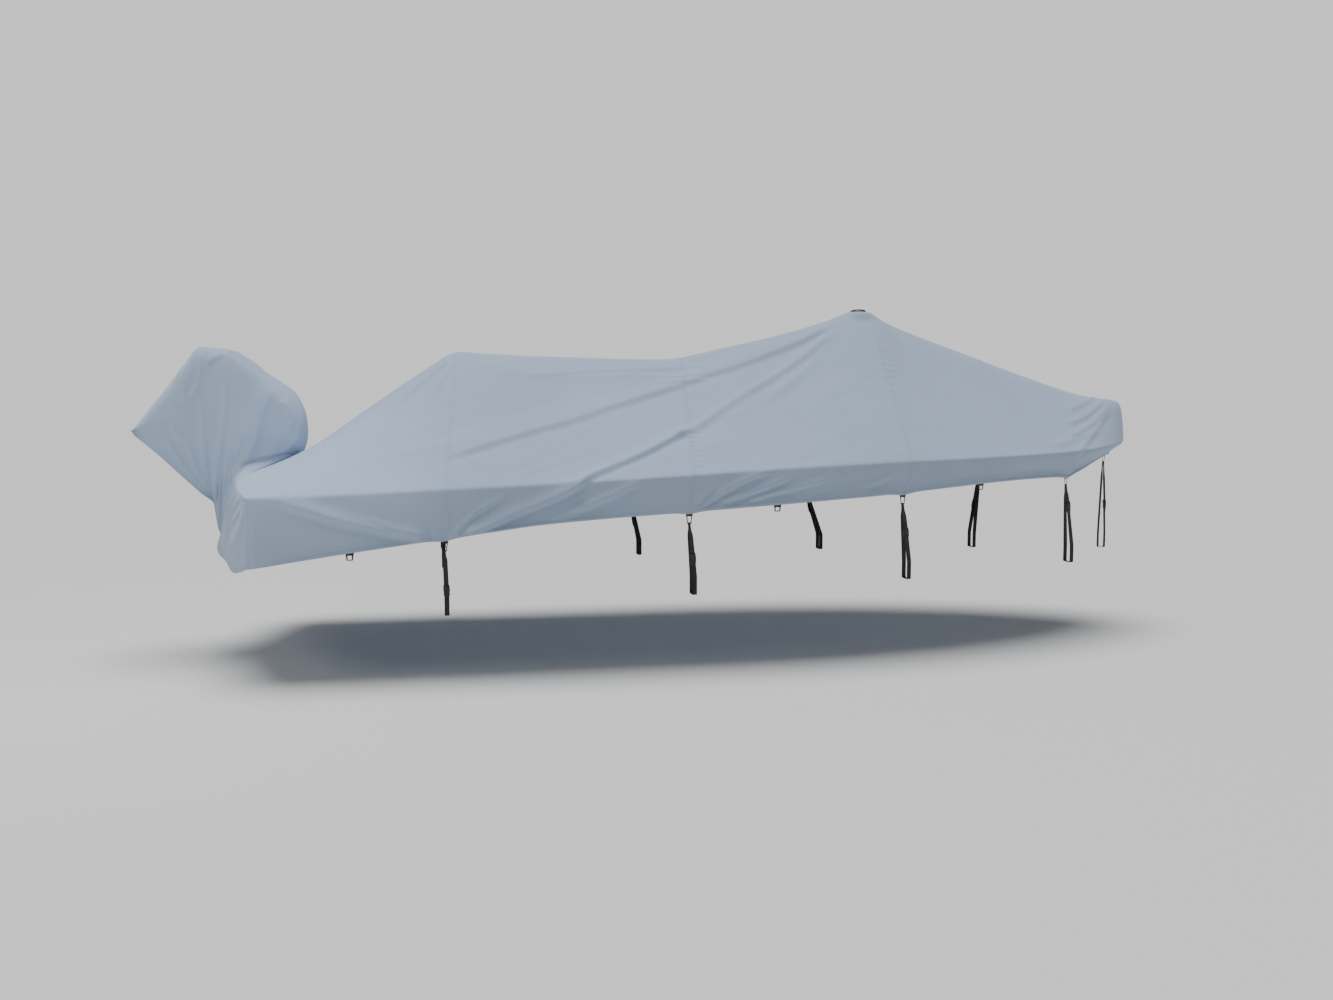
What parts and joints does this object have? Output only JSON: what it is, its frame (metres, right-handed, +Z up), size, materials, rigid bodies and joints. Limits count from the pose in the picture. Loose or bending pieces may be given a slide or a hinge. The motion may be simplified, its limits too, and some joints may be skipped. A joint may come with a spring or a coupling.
{
  "type": "boat cover",
  "caption": "Fitted grey canvas boat cover with a peaked ridge, a motor hood, sewn webbing tabs and buckled tie-down straps.",
  "frame": {"origin": "centre of the support pole's head, on the hidden face of the cloth at the cover's peak", "axes": "+X forward to the bow, +Y to port, +Z up"},
  "size_m": [6.0352, 2.04, 1.6631],
  "materials": {
    "canvas": "matte",
    "webbing": "matte",
    "plastic": "satin"
  },
  "bodies": {
    "root": {"aft_panel": "canvas", "bow_panel": "canvas", "buckle_a_port": "plastic", "buckle_a_starboard": "plastic", "buckle_b_port": "plastic", "buckle_b_starboard": "plastic", "buckle_bow": "plastic", "buckle_c_port": "plastic", "buckle_c_starboard": "plastic", "buckle_d_port": "plastic", "buckle_d_starboard": "plastic", "fore_panel": "canvas", "motor_hood": "canvas", "pole_cap": "plastic", "spare_tab_1_port": "webbing", "spare_tab_1_starboard": "webbing", "spare_tab_2_port": "webbing", "spare_tab_2_starboard": "webbing", "spare_tab_3_port": "webbing", "spare_tab_3_starboard": "webbing", "stern_panel": "canvas", "strap_a_port": "webbing", "strap_a_starboard": "webbing", "strap_b_port": "webbing", "strap_b_starboard": "webbing", "strap_bow": "webbing", "strap_c_port": "webbing", "strap_c_starboard": "webbing", "strap_d_port": "webbing", "strap_d_starboard": "webbing", "tab_a_port": "webbing", "tab_a_starboard": "webbing", "tab_b_port": "webbing", "tab_b_starboard": "webbing", "tab_bow": "webbing", "tab_c_port": "webbing", "tab_c_starboard": "webbing", "tab_d_port": "webbing", "tab_d_starboard": "webbing", "transom_panel": "canvas"}
  },
  "joints": []
}
